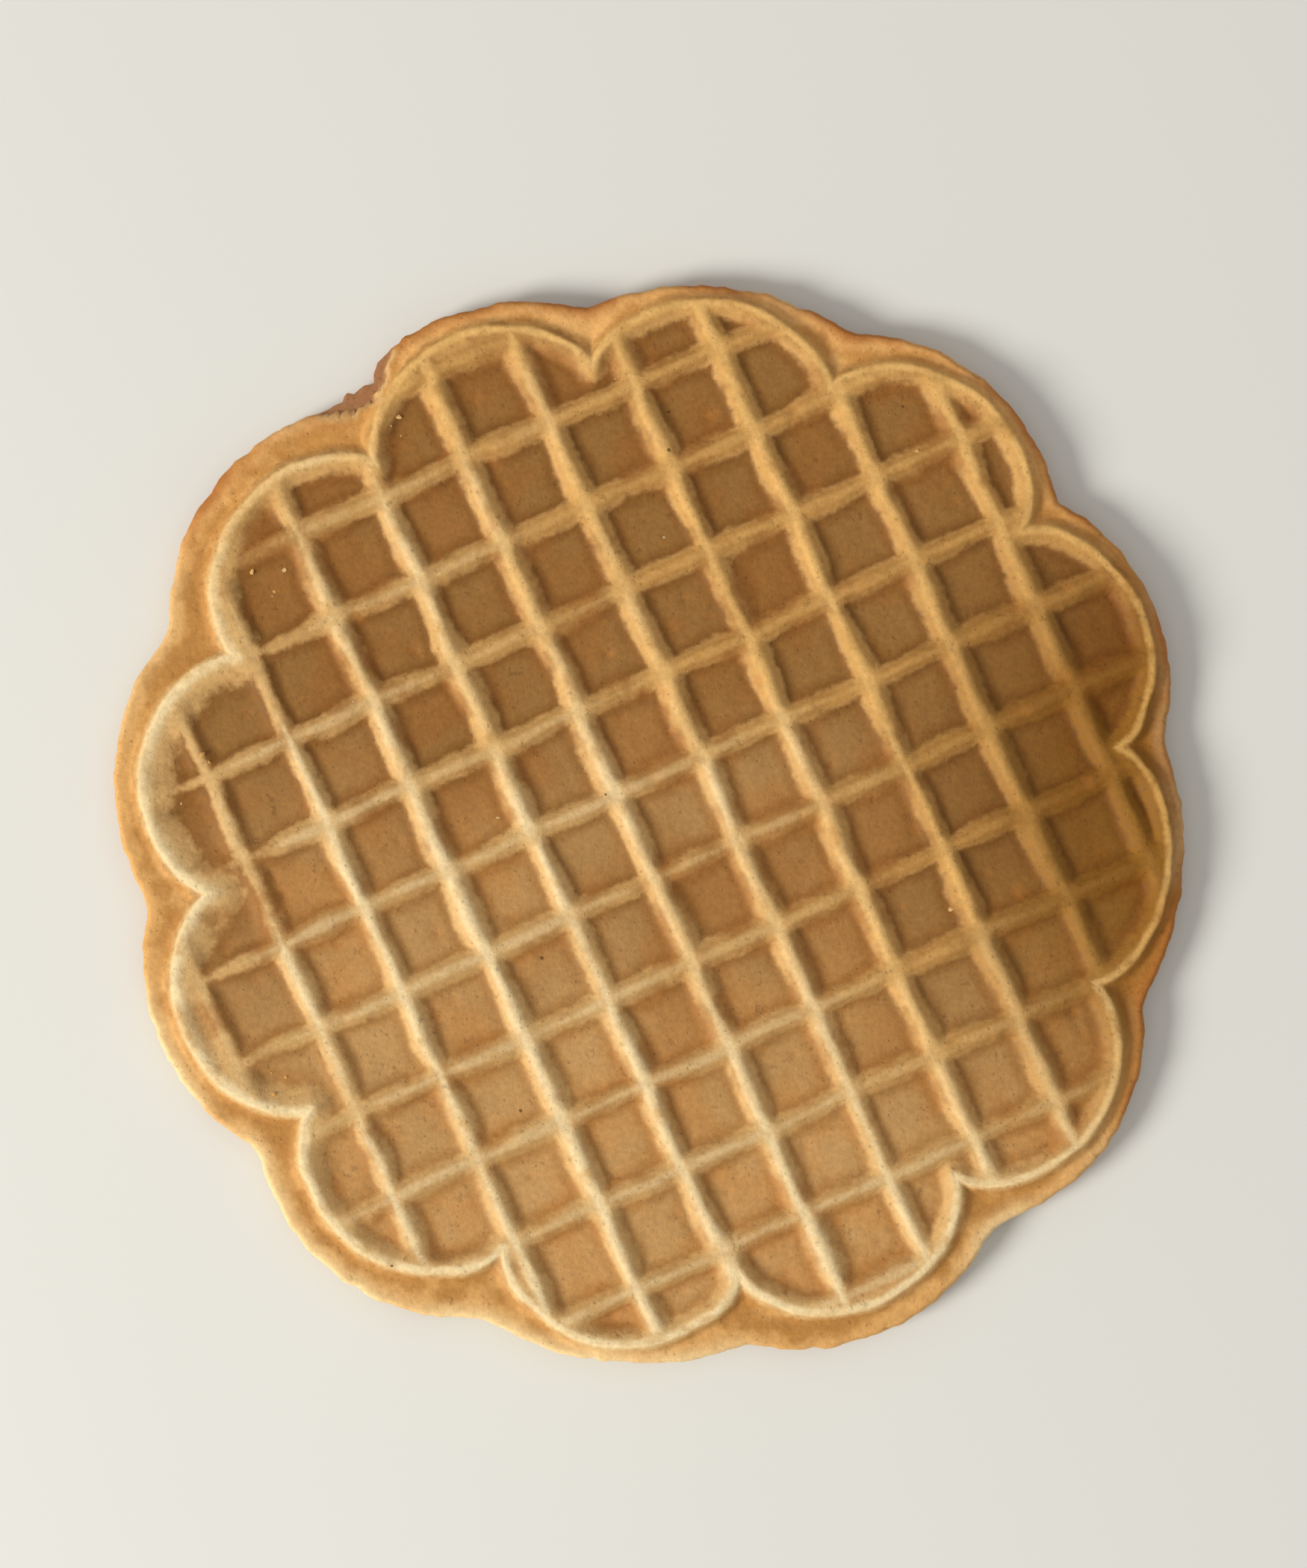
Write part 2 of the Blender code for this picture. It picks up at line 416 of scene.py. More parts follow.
def joinRings(faces, outer, outerCount, inner, innerCount, up):
    # a band of faces between two rings, the inner one with as many spokes or half as many
    def face(*corners):
        faces.append(corners if up else corners[::-1])

    if outerCount == innerCount:
        for i in range(outerCount):
            j = (i + 1) % outerCount
            face(outer + i, outer + j, inner + j, inner + i)
        return
    for i in range(innerCount):
        a, b, c = outer + 2 * i, outer + 2 * i + 1, outer + (2 * i + 2) % outerCount
        m, n = inner + i, inner + (i + 1) % innerCount
        face(a, b, m)
        face(b, n, m)
        face(b, c, n)


def closeMiddle(faces, ring, count, middle, up):
    # a fan of faces inside the innermost ring
    for i in range(count):
        corners = (ring + i, ring + (i + 1) % count, middle)
        faces.append(corners if up else corners[::-1])


def meshOf(name, x, y, z, faces, kept):
    middleX, middleY = pattern["middle"]
    points = np.stack([(x + middleX) * mm, (y + middleY) * mm, (z + level["middle"]) * mm], axis=-1)
    mesh = bpy.data.meshes.new(name)
    mesh.from_pydata(points.tolist(), [], faces)
    mesh.update()
    for label, values in kept.items():
        attribute = mesh.attributes.new(label, "FLOAT", "POINT")
        attribute.data.foreach_set("value", values.astype(np.float32))
    mesh.shade_smooth()
    return mesh


def placed(name, data):
    piece = bpy.data.objects.new(name, data)
    bpy.context.scene.collection.objects.link(piece)
    return piece


# The first seed of each face's noise
faceSeeds = {"top": 10, "bottom": 30}


def buildCookie():
    spokes = fineness["spokes"]
    x, y = ringPoints(edgeReach, spokes)
    outline = {name: np.zeros(spokes) for name in keptOnMesh}
    outline["fromArc"] -= 5.0  # mm outside the arcs, so all of it is rim
    parts = [(x, y, swing(batter["bulge"], x, y, 61), outline)]
    faces = []
    for side, seed in faceSeeds.items():
        isTop = side == "top"
        rings = ringsOf(side)
        rows = [ringPoints(rule, count) for rule, count in rings]
        x = np.concatenate([row[0] for row in rows] + [np.zeros(1)])
        y = np.concatenate([row[1] for row in rows] + [np.zeros(1)])
        z, kept = pressedFace(x, y, seed, isTop)
        start = sum(len(part[0]) for part in parts)
        parts.append((x, y, z if isTop else -z, kept))
        before, beforeCount = 0, spokes
        for _, count in rings:
            joinRings(faces, before, beforeCount, start, count, isTop)
            before, beforeCount = start, count
            start += count
        closeMiddle(faces, before, beforeCount, start, isTop)
        print(side, "face:", len(x), "points")

    x, y, z = (np.concatenate([part[axis] for part in parts]) for axis in range(3))
    kept = {name: np.concatenate([part[3][name] for part in parts]) for name in keptOnMesh}
    mesh = meshOf("pizzelleBaked", x, y, z, faces, kept)
    print("cookie:", len(mesh.vertices), "points,", len(mesh.polygons), "faces")
    return placed("pizzelleBaked", mesh)


def newMaterial(name, settings):
    material = bpy.data.materials.new(name)
    material.use_nodes = True
    shader = material.node_tree.nodes["Principled BSDF"]
    for label, value in settings.items():
        shader.inputs[label].default_value = value
    return material, material.node_tree, shader


def addNode(tree, kind, place, **settings):
    node = tree.nodes.new(kind)
    node.location = place
    for name, value in settings.items():
        setattr(node, name, value)
    return node


def feed(tree, socket, value):
    # a socket gets a number, a colour or a link
    if isinstance(value, (int, float)):
        socket.default_value = value
    elif isinstance(value, tuple):
        socket.default_value = (*value, 1.0)
    else:
        tree.links.new(value, socket)


def mathNode(tree, operation, place, first, second):
    node = addNode(tree, "ShaderNodeMath", place, operation=operation)
    feed(tree, node.inputs[0], first)
    feed(tree, node.inputs[1], second)
    return node.outputs[0]


def times(tree, place, first, second):
    return mathNode(tree, "MULTIPLY", place, first, second)


def plus(tree, place, first, second):
    return mathNode(tree, "ADD", place, first, second)


def greater(tree, place, first, second):
    return mathNode(tree, "MAXIMUM", place, first, second)


def weighed(tree, place, first, share, second, otherShare):
    # two masks or noises added by their shares
    x, y = place
    return plus(tree, place, times(tree, (x - 150, y + 50), first, share),
                times(tree, (x - 150, y - 50), second, otherShare))


def swung(tree, place, fac, amount):
    # a noise of 0 to 1 turned into one that swings about zero
    x, y = place
    return times(tree, place, mathNode(tree, "SUBTRACT", (x - 150, y), fac, 0.5), amount)


def mixColours(tree, place, factor, first, second, blend="MIX"):
    node = addNode(tree, "ShaderNodeMix", place, data_type="RGBA", blend_type=blend)
    factorIn, firstIn, secondIn = node.inputs[0], node.inputs[6], node.inputs[7]
    feed(tree, factorIn, factor)
    feed(tree, firstIn, first)
    feed(tree, secondIn, second)
    return node.outputs[2]


def multiplied(tree, place, colour, tint):
    return mixColours(tree, place, 1.0, colour, tint, "MULTIPLY")


def tinted(tree, place, factor, colour, tint):
    # a colour that another is multiplied over, where the factor says
    x, y = place
    return mixColours(tree, place, factor, colour, multiplied(tree, (x - 150, y - 120), colour, tint))


def mapRange(tree, place, value, low, high, toLow=0.0, toHigh=1.0, kind="SMOOTHSTEP"):
    node = addNode(tree, "ShaderNodeMapRange", place, interpolation_type=kind)
    tree.links.new(value, node.inputs["Value"])
    for name, number in (("From Min", low), ("From Max", high), ("To Min", toLow), ("To Max", toHigh)):
        node.inputs[name].default_value = number
    return node.outputs["Result"]


def noiseNode(tree, place, vector, scale, detail=2.0, roughness=0.5):
    node = addNode(tree, "ShaderNodeTexNoise", place)
    tree.links.new(vector, node.inputs["Vector"])
    node.inputs["Scale"].default_value = scale
    node.inputs["Detail"].default_value = detail
    node.inputs["Roughness"].default_value = roughness
    node.inputs["Distortion"].default_value = 0.0
    return node.outputs["Fac"]


def bumpNode(tree, place, height, strength, distance):
    bump = addNode(tree, "ShaderNodeBump", place)
    bump.inputs["Strength"].default_value = strength
    bump.inputs["Distance"].default_value = distance
    tree.links.new(height, bump.inputs["Height"])
    return bump.outputs["Normal"]


# How uneven the scattered spots are in size and outline. A set of four is a range and what it is
# turned into.
spotShape = {
    "sizes": (0.0, 1.0, 0.55, 1.25),
    "ragged": 1.6,
    "raggedScale": 5.0,  # times as fine as their spacing
    "border": (0.45, 1.0, 1.0, 0.0),
}


def buildSpotGroup():
    # uneven spots scattered over a surface, such as pores, burnt specks or flour
    group = bpy.data.node_groups.new("scatteredSpots", "ShaderNodeTree")
    group.interface.new_socket(name="Vector", in_out="INPUT", socket_type="NodeSocketVector")
    for name, value in (("Spacing", 1000.0), ("Share", 0.2), ("Size", 0.3)):
        socket = group.interface.new_socket(name=name, in_out="INPUT", socket_type="NodeSocketFloat")
        socket.default_value = value
    group.interface.new_socket(name="Spots", in_out="OUTPUT", socket_type="NodeSocketFloat")
    start = addNode(group, "NodeGroupInput", (-1200, 0))
    end = addNode(group, "NodeGroupOutput", (800, 0))

    ragged = addNode(group, "ShaderNodeTexNoise", (-800, -200))
    finer = times(group, (-1000, -200), start.outputs["Spacing"], spotShape["raggedScale"])
    group.links.new(start.outputs["Vector"], ragged.inputs["Vector"])
    group.links.new(finer, ragged.inputs["Scale"])
    cells = addNode(group, "ShaderNodeTexVoronoi", (-400, 0), feature="F1")
    group.links.new(start.outputs["Vector"], cells.inputs["Vector"])
    group.links.new(start.outputs["Spacing"], cells.inputs["Scale"])
    split = addNode(group, "ShaderNodeSeparateColor", (-200, -120))
    group.links.new(cells.outputs["Color"], split.inputs[0])

    chosen = mathNode(group, "LESS_THAN", (0, -120), split.outputs[0], start.outputs["Share"])
    unlike = mapRange(group, (0, -280), split.outputs[1], *spotShape["sizes"], "LINEAR")
    size = times(group, (150, -280), unlike, start.outputs["Size"])
    near = mathNode(group, "DIVIDE", (200, 0), cells.outputs["Distance"], size)
    outline = swung(group, (200, -150), ragged.outputs["Fac"], spotShape["ragged"])
    near = plus(group, (300, 0), near, outline)
    spot = mapRange(group, (400, 0), near, *spotShape["border"])
    group.links.new(times(group, (600, 0), spot, chosen), end.inputs["Spots"])
    return group


def placeSpots(tree, group, place, vector, spacing, share, size):
    node = addNode(tree, "ShaderNodeGroup", place, node_tree=group)
    tree.links.new(vector, node.inputs["Vector"])
    node.inputs["Spacing"].default_value = spacing
    node.inputs["Share"].default_value = share
    node.inputs["Size"].default_value = size
    return node.outputs[0]


# Tones of the baked batter
bake = {
    "cell": (0.415, 0.216, 0.066),
    "cellRed": (0.430, 0.192, 0.048),
    "lightCells": (1.30, 1.42, 1.72),  # these multiply the cells: paler towards the bottom
    "deepCells": (0.72, 0.66, 0.54),  # and darker towards the top
    "footShade": (0.82, 0.74, 0.62),  # and this round the foot of the ridges: painted shade
    "ridge": (0.690, 0.440, 0.182),
    # ridge to ridgeGold and crest to crestGold run from the paler lower left to the golden upper right:
    # partly baking, partly painted light
    "ridgeGold": (0.600, 0.325, 0.094),
    "arcSlope": (0.620, 0.355, 0.125),
    "shallowRunShade": (0.82, 0.77, 0.70),  # multiplies the shallow run of ridges: painted shade, as the light falls along that run
    "crest": (0.880, 0.690, 0.385),
    "crestGold": (0.770, 0.455, 0.150),
    "rim": (0.680, 0.368, 0.120),
    "rimBrown": (0.480, 0.225, 0.056),
    "rimPaintedLight": (1.22, 1.23, 1.27),  # multiplies the rim on the golden side: painted light against the shadow that the arcs cast there
    "edge": (0.880, 0.640, 0.320),
    "toast": (0.450, 0.160, 0.032),
    # a toasted band round the foot of the ridges, partly painted shade
    "footToastAndShade": (0.400, 0.172, 0.042),
    "torn": (0.360, 0.165, 0.070),
    "crumb": (0.680, 0.430, 0.180),
    "speck": (0.090, 0.040, 0.014),
    "flour": (0.800, 0.620, 0.380),
    "hotAndShaded": (0.52, 0.41, 0.16),  # multiplies all of it towards the right, partly baked longer there and partly painted shade
}

# Which way the tones change, per metre, and where the wafer is darkest, in metres. Some of it is painted
# light and shade.
tonesAndLight = {
    "deeperSide": (-1.0, 8.5, 0.0),
    # golden towards the upper right and paler towards the lower left, where the light comes from: partly
    # baking, partly painted light
    "goldenSide": (6.0, 8.5, 0.0),
    # the darkest place, on the right: partly deeper baking, partly painted shade
    "hotShadedPlace": (0.070, 0.002, 0.002),
    "hotShadedWander": 0.03,  # metres by which that place's border wanders
}

# Scale, detail and roughness of the noises that the tones share
noises = {
    "broad": (42.0, 2.0),
    "patch": (115.0, 2.0),
    "mottle": (250.0, 3.0, 0.6),
    "fine": (900.0, 2.0, 0.6),
    "grain": (1500.0, 3.0, 0.7),
}

# Where each tone starts and where it is full. Two more numbers are its strength at either end,
# where that isn't 0 and 1.
borders = {
    "deeper": (-0.45, 0.30),  # towards the two sides
    "golden": (-0.30, 0.40),
    "longer": (0.070, 0.030),  # metres from the darkest place on the right, partly deeper baking and partly painted shade
    "footShade": (3.6, 2.0),  # mm from the nearest crest
    "slope": (2.10, 1.30),
    "foot": (2.6, 1.9),
    "footTop": (0.8, 1.5),
    "onlyShallow": (0.2, 1.4),  # mm nearer the shallow run than the steep one
    "clearOfRidges": (1.0, 1.8),  # mm from a ridge's crest
    # the crests' pale lines are partly painted highlight, stronger on the steep run that the light falls
    # across
    "steepCrest": (1.15, 0.35, 0.0, 0.85),
    "shallowCrest": (0.9, 0.2, 0.0, 0.35),
    "arcSlope": (0.5, 1.4, 0.0, 0.6),  # mm from an arc's crest, on either side
    "arcCrest": (0.80, 0.15),
    "pastArc": (0.8, 2.2),  # mm inside an arc's crest, or outside it where negative
    "insideArc": (-0.3, 0.4),
    "rim": (-0.5, -1.3),
    "between": (-2.4, -4.6),
    "edge": (3.0, 0.0),  # mm from the wafer's edge
    "redder": (0.42, 0.62, 0.0, 0.7),  # noises
    "ridgePatch": (0.48, 0.61, 0.0, 0.45),
    "footPatch": (0.49, 0.66, 0.0, 0.6),
    "rimPatch": (0.47, 0.64),
    "crestPatch": (0.24, 0.52),
    "palePatch": (0.58, 0.40, 0.0, 0.9),
    "toastPatch": (0.38, 0.58, 0.35, 1.0),
    "pitted": (0.63, 0.74),
    "goldenFoot": (0.0, 1.0, 0.7, 1.0),  # how far along the golden side
    "goldenBetween": (0.2, 1.0, 0.0, 0.55),
    "goldenToast": (0.3, 0.85, 0.0, 1.0),
    "deeperPale": (0.0, 0.9, 1.0, 0.30),
    # the crests' pale lines fade towards the darkest place on the right, partly painted shade
    "longerShadedCrest": (0.0, 1.0, 1.0, 0.15),
}

# How strongly each thing counts
weights = {
    "wobble": (1.1, 0.8),  # mm that the borders wander, with the mottle and with the fine noise
    "crestWobble": 0.5,
    "shallowBack": 0.25,  # mm by which the shallow run's tones are narrower: painted shade, as the light falls along that run
    "arcInside": 0.95,  # how the distance from an arc counts inside and outside its crest
    "arcOutside": -1.2,
    "ridgePatch": (0.45, 0.55),
    # darkens the ridges towards the right: partly deeper baking, partly painted shade
    "ridgeHotShaded": 0.30,
    "rimPatch": (0.5, 0.5),
    "rimEdge": 0.20,
    # and the rims
    "rimHotShaded": 0.75,
    # and tints the crests
    "crestHotShaded": 0.5,
    "paleFall": 1.5,  # powers that the edge's tones fall off by
    "toastFall": 1.8,
    "flake": 0.8,
    "pock": 0.42,
    "pores": 0.26,
    "specks": 0.8,
    "flour": 0.6,
}

# Scattered spots: places to a metre, the share of them that has a spot, and its size
scattered = {
    "pores": (1300.0, 0.22, 0.24),
    "specks": (400.0, 0.05, 0.11),
    "flour": (520.0, 0.015, 0.09),
}

# Pits, grain and gloss. A set of four is a noise's range and what it is turned into.
surface = {
    "pitted": (760.0, 3.0, 0.55),
    "grainTone": (0.3, 0.7, 0.87, 1.11),
    "roughness": (0.3, 0.7, 0.52, 0.76),
    "heights": (0.6, 0.8),  # of the grain and of the mottle
    "poreDepth": 0.3,
    "bump": (0.55, 0.00022),
}


def ramp(tree, place, value, border):
    return mapRange(tree, place, value, *borders[border])


def towards(tree, at, side, y):
    # how far a point lies towards one side of the wafer, with an uneven border
    along = addNode(tree, "ShaderNodeVectorMath", (-2300, y), operation="DOT_PRODUCT")
    tree.links.new(at["where"], along.inputs[0])
    along.inputs[1].default_value = tonesAndLight[side + "Side"]
    unlike = mathNode(tree, "SUBTRACT", (-2150, y - 80), at["broad"], 0.5)
    return ramp(tree, (-1800, y), plus(tree, (-2000, y), along.outputs["Value"], unlike), side)


def nearHotShaded(tree, at):
    # how near a point lies to the darkest place on the right, where it baked longer and painted shade
    # darkens it
    away = addNode(tree, "ShaderNodeVectorMath", (-2300, 1100), operation="DISTANCE")
    tree.links.new(at["where"], away.inputs[0])
    away.inputs[1].default_value = tonesAndLight["hotShadedPlace"]
    unlike = times(tree, (-2150, 1000), at["broad"], tonesAndLight["hotShadedWander"])
    return ramp(tree, (-1800, 1100), plus(tree, (-2000, 1100), away.outputs["Value"], unlike), "longer")


def waferMasks(tree):
    # what the tones go by at each point of the wafer
    where = addNode(tree, "ShaderNodeTexCoord", (-2600, 0)).outputs["Object"]
    at = {"where": where}
    for i, name in enumerate(keptOnMesh):
        node = addNode(tree, "ShaderNodeAttribute", (-2600, -200 - 180 * i), attribute_name=name)
        at[name] = node.outputs["Fac"]
    for i, (name, settings) in enumerate(noises.items()):
        at[name] = noiseNode(tree, (-2300, 500 - 250 * i), where, *settings)
    at["deeper"] = towards(tree, at, "deeper", 700)
    # paler towards the lower left: partly baking, partly painted light from where the light comes
    at["golden"] = towards(tree, at, "golden", 900)
    at["longer"] = nearHotShaded(tree, at)
    at["edge"] = ramp(tree, (-1500, -700), at["toEdge"], "edge")

    # distances from the crests, in mm, and borders that wander a little
    mottled, fine = weights["wobble"]
    at["wobble"] = plus(tree, (-1850, 0), swung(tree, (-2000, 80), at["mottle"], mottled),
                        swung(tree, (-2000, -80), at["fine"], fine))
    shallow = plus(tree, (-2050, -280), at["acrossShallow"], weights["shallowBack"])
    at["fromLine"] = mathNode(tree, "MINIMUM", (-1900, -240), at["acrossSteep"], shallow)
    inside = times(tree, (-2050, -400), at["fromArc"], weights["arcInside"])
    outside = times(tree, (-2050, -520), at["fromArc"], weights["arcOutside"])
    at["fromCrest"] = greater(tree, (-1900, -400), inside, outside)
    nearest = mathNode(tree, "MINIMUM", (-1750, -240), at["fromLine"], at["fromCrest"])
    at["near"] = plus(tree, (-1600, -200), nearest, at["wobble"])
    return at


def cellTone(tree, at):
    # redder in patches, deeper towards one side, and darker round the foot of the ridges with painted
    # shade
    redder = ramp(tree, (-1500, 300), at["patch"], "redder")
    cell = mixColours(tree, (-1300, 300), redder, bake["cell"], bake["cellRed"])
    byDepth = mixColours(tree, (-1300, 500), at["deeper"], bake["lightCells"], bake["deepCells"])
    cell = multiplied(tree, (-1150, 400), cell, byDepth)
    footShade = ramp(tree, (-1200, 100), at["near"], "footShade")
    return tinted(tree, (-950, 300), footShade, cell, bake["footShade"])


def ridgeTone(tree, at, cell):
    # the shallow run is darker with painted shade, the arcs' slopes are deeper, and all of it is baked
    # browner in patches and darker towards the right, partly painted shade
    ridge = mixColours(tree, (-1000, 0), at["golden"], bake["ridge"], bake["ridgeGold"])
    nearer = mathNode(tree, "SUBTRACT", (-1650, -80), at["acrossSteep"], at["acrossShallow"])
    onlyShallow = times(tree, (-1300, -80), ramp(tree, (-1500, -80), nearer, "onlyShallow"),
                        ramp(tree, (-1500, -200), at["fromArc"], "pastArc"))
    ridge = tinted(tree, (-900, 0), onlyShallow, ridge, bake["shallowRunShade"])
    arcSlope = times(tree, (-1300, -300), ramp(tree, (-1500, -360), at["fromCrest"], "arcSlope"),
                     ramp(tree, (-1500, -480), at["fromLine"], "clearOfRidges"))
    ridge = mixColours(tree, (-800, 0), arcSlope, ridge, bake["arcSlope"])
    patch, mottle = weights["ridgePatch"]
    patchy = weighed(tree, (-1500, 120), at["patch"], patch, at["mottle"], mottle)
    brownedAndShaded = greater(tree, (-1000, 120), ramp(tree, (-1300, 60), patchy, "ridgePatch"),
                      times(tree, (-1150, 160), at["longer"], weights["ridgeHotShaded"]))
    return mixColours(tree, (-700, 60), brownedAndShaded, ridge, cell)


def latticeTone(tree, at):
    cell = cellTone(tree, at)
    ridge = ridgeTone(tree, at, cell)
    colour = mixColours(tree, (-600, 200), ramp(tree, (-1000, -150), at["near"], "slope"), cell, ridge)
    # a toasted band round the foot of the ridges, partly painted shade, stronger on the golden side
    foot = times(tree, (-900, -200), ramp(tree, (-1100, -150), at["near"], "foot"),
                 ramp(tree, (-1100, -300), at["near"], "footTop"))
    foot = times(tree, (-700, -200), foot, ramp(tree, (-900, -350), at["patch"], "footPatch"))
    foot = times(tree, (-600, -300), foot, ramp(tree, (-800, -450), at["golden"], "goldenFoot"))
    return mixColours(tree, (-500, 200), foot, colour, bake["footToastAndShade"])


def rimTone(tree, at):
    # browner in patches and, on the golden side, between two petals; lighter on the golden side with
    # painted light, and darker towards the right, partly painted shade
    mottle, patch = weights["rimPatch"]
    outward = weighed(tree, (-1300, -500), at["mottle"], mottle, at["patch"], patch)
    nearEdge = times(tree, (-1400, -650), at["edge"], weights["rimEdge"])
    outward = plus(tree, (-1200, -600), outward, nearEdge)
    pale = ramp(tree, (-1100, -500), outward, "rimPatch")
    rim = mixColours(tree, (-900, -500), pale, bake["rimBrown"], bake["rim"])
    between = times(tree, (-900, -650), ramp(tree, (-1100, -750), at["fromArc"], "between"),
                    ramp(tree, (-1100, -900), at["golden"], "goldenBetween"))
    rim = mixColours(tree, (-750, -500), between, rim, bake["toast"])
    hotShaded = times(tree, (-760, -400), at["longer"], weights["rimHotShaded"])
    rim = mixColours(tree, (-650, -500), hotShaded, rim, bake["rimBrown"])
    return tinted(tree, (-450, -500), at["golden"], rim, bake["rimPaintedLight"])


def onCrests(tree, at):
    # where the batter stayed pale along the crests, partly painted highlight: stronger on the steep run,
    # which the light falls across
    half = times(tree, (-1500, -1000), at["wobble"], weights["crestWobble"])
    steep = plus(tree, (-1300, -1000), at["acrossSteep"], half)
    shallow = plus(tree, (-1300, -1150), at["acrossShallow"], half)
    arc = plus(tree, (-1300, -1300), at["fromCrest"], half)
    lattice = greater(tree, (-950, -1000), ramp(tree, (-1100, -1000), steep, "steepCrest"),
                      ramp(tree, (-1100, -1150), shallow, "shallowCrest"))
    lattice = times(tree, (-800, -1000), lattice, ramp(tree, (-950, -1150), at["fromArc"], "insideArc"))
    lattice = times(tree, (-650, -1050), lattice, ramp(tree, (-800, -1200), at["longer"], "longerShadedCrest"))
    crest = greater(tree, (-500, -1000), lattice, ramp(tree, (-1100, -1300), arc, "arcCrest"))
    return times(tree, (-350, -1000), crest, ramp(tree, (-500, -1150), at["mottle"], "crestPatch"))


def crestTone(tree, at):
    gold = mixColours(tree, (-350, 800), at["golden"], bake["crest"], bake["crestGold"])
    # darker towards the right: partly deeper baking, partly painted shade
    hotShaded = times(tree, (-350, 1000), at["longer"], weights["crestHotShaded"])
    return tinted(tree, (-100, 800), hotShaded, gold, bake["hotAndShaded"])


def edgeTones(tree, at, colour):
    # pale in patches where it baked lightly, and toasted on the golden side
    nearEdge = mathNode(tree, "POWER", (-650, -700), at["edge"], weights["paleFall"])
    pale = times(tree, (-500, -700), nearEdge, ramp(tree, (-700, -800), at["broad"], "palePatch"))
    pale = times(tree, (-350, -700), pale, ramp(tree, (-500, -850), at["deeper"], "deeperPale"))
    colour = mixColours(tree, (150, 400), pale, colour, bake["edge"])
    nearEdge = mathNode(tree, "POWER", (-200, 600), at["edge"], weights["toastFall"])
    toasted = times(tree, (0, 700), nearEdge, ramp(tree, (-200, 500), at["golden"], "goldenToast"))
    toasted = times(tree, (150, 700), toasted, ramp(tree, (0, 850), at["patch"], "toastPatch"))
    return mixColours(tree, (300, 400), toasted, colour, bake["toast"])


def spottedTone(tree, at, colour, spots, pores):
    # pocks and open pores darkened with painted shade in their hollows, fine grain, burnt specks and a
    # little flour
    pock = times(tree, (550, 250), at["pock"], weights["pock"])
    colour = mixColours(tree, (700, 400), pock, colour, bake["toast"])
    grain = mapRange(tree, (650, 100), at["grain"], *surface["grainTone"], "LINEAR")
    colour = multiplied(tree, (850, 400), colour, grain)
    specks = placeSpots(tree, spots, (0, -960), at["where"], *scattered["specks"])
    flour = placeSpots(tree, spots, (0, -1120), at["where"], *scattered["flour"])
    for mask, name, tone, x in ((pores, "pores", "speck", 1000), (specks, "specks", "speck", 1150),
                                (flour, "flour", "flour", 1300)):
        amount = times(tree, (x - 200, -500), mask, weights[name])
        colour = mixColours(tree, (x, 400), amount, colour, bake[tone])
    return colour


def bakedWafer(spots):
    material, tree, shader = newMaterial("bakedWafer", {"IOR": 1.42, "Specular IOR Level": 0.2})
    at = waferMasks(tree)
    colour = latticeTone(tree, at)
    onRim = ramp(tree, (-1100, -640), plus(tree, (-1250, -640), at["fromArc"], at["wobble"]), "rim")
    colour = mixColours(tree, (-350, 200), onRim, colour, rimTone(tree, at))
    # all of it darker towards the right: partly deeper baking, partly painted shade
    byHeatAndShade = mixColours(tree, (-500, 500), at["longer"], (1.0, 1.0, 1.0), bake["hotAndShaded"])
    colour = multiplied(tree, (-200, 400), colour, byHeatAndShade)
    colour = mixColours(tree, (0, 400), onCrests(tree, at), colour, crestTone(tree, at))
    colour = edgeTones(tree, at, colour)
    colour = mixColours(tree, (450, 400), at["torn"], colour, bake["torn"])
    flake = times(tree, (450, 600), at["flake"], weights["flake"])
    colour = mixColours(tree, (600, 400), flake, colour, bake["crumb"])

    pitted = noiseNode(tree, (-200, -1300), at["where"], *surface["pitted"])
    pores = placeSpots(tree, spots, (0, -800), at["where"], *scattered["pores"])
    pores = greater(tree, (200, -900), pores, ramp(tree, (0, -1300), pitted, "pitted"))
    colour = spottedTone(tree, at, colour, spots, pores)
    tree.links.new(colour, shader.inputs["Base Color"])

    rough = mapRange(tree, (1100, -100), at["grain"], *surface["roughness"], "LINEAR")
    tree.links.new(rough, shader.inputs["Roughness"])
    grain, mottle = surface["heights"]
    height = weighed(tree, (700, -300), at["grain"], grain, at["mottle"], mottle)
    poreDepth = times(tree, (700, -420), pores, surface["poreDepth"])
    height = mathNode(tree, "SUBTRACT", (900, -300), height, poreDepth)
    tree.links.new(bumpNode(tree, (1100, -300), height, *surface["bump"]), shader.inputs["Normal"])
    shader.location = (1500, 0)
    tree.nodes["Material Output"].location = (1800, 0)
    return material


crumbs = {
    "places": ((176.0, 55.5), (148.0, 55.5), (124.0, 56.5), (212.0, 57.0)),  # angle and reach
    "each": 3,  # round each place
    "spread": 2.2,
    "loose": 3,  # more, anywhere within this reach
    "looseReach": 58.0,
    "size": (0.16, 0.40),
    "long": (0.8, 1.4),
    "wide": (0.6, 1.1),
    "flat": (0.25, 0.5),
    "tilt": 0.4,
    "ragged": 0.8,
    "raggedScale": 2.3,
    "seed": 21,
    "noises": ((160.0, 1.0), (2600.0, 2.0, 0.6)),  # from crumb to crumb, and the grain
    "tones": (0.40, 0.60),  # the first noise from golden to pale
    "bump": (0.5, 0.0001),
}


def crumbPlaces(pick):
    middles = []
    for angle, reach in crumbs["places"]:
        at = math.radians(angle)
        for _ in range(crumbs["each"]):
            x = reach * math.cos(at) + pick.gauss(0, crumbs["spread"])
            y = reach * math.sin(at) + pick.gauss(0, crumbs["spread"])
            middles.append((x, y))
    for _ in range(crumbs["loose"]):
        at = pick.uniform(0, math.tau)
        reach = crumbs["looseReach"] * math.sqrt(pick.random())
        middles.append((reach * math.cos(at), reach * math.sin(at)))
    return np.array(middles).T


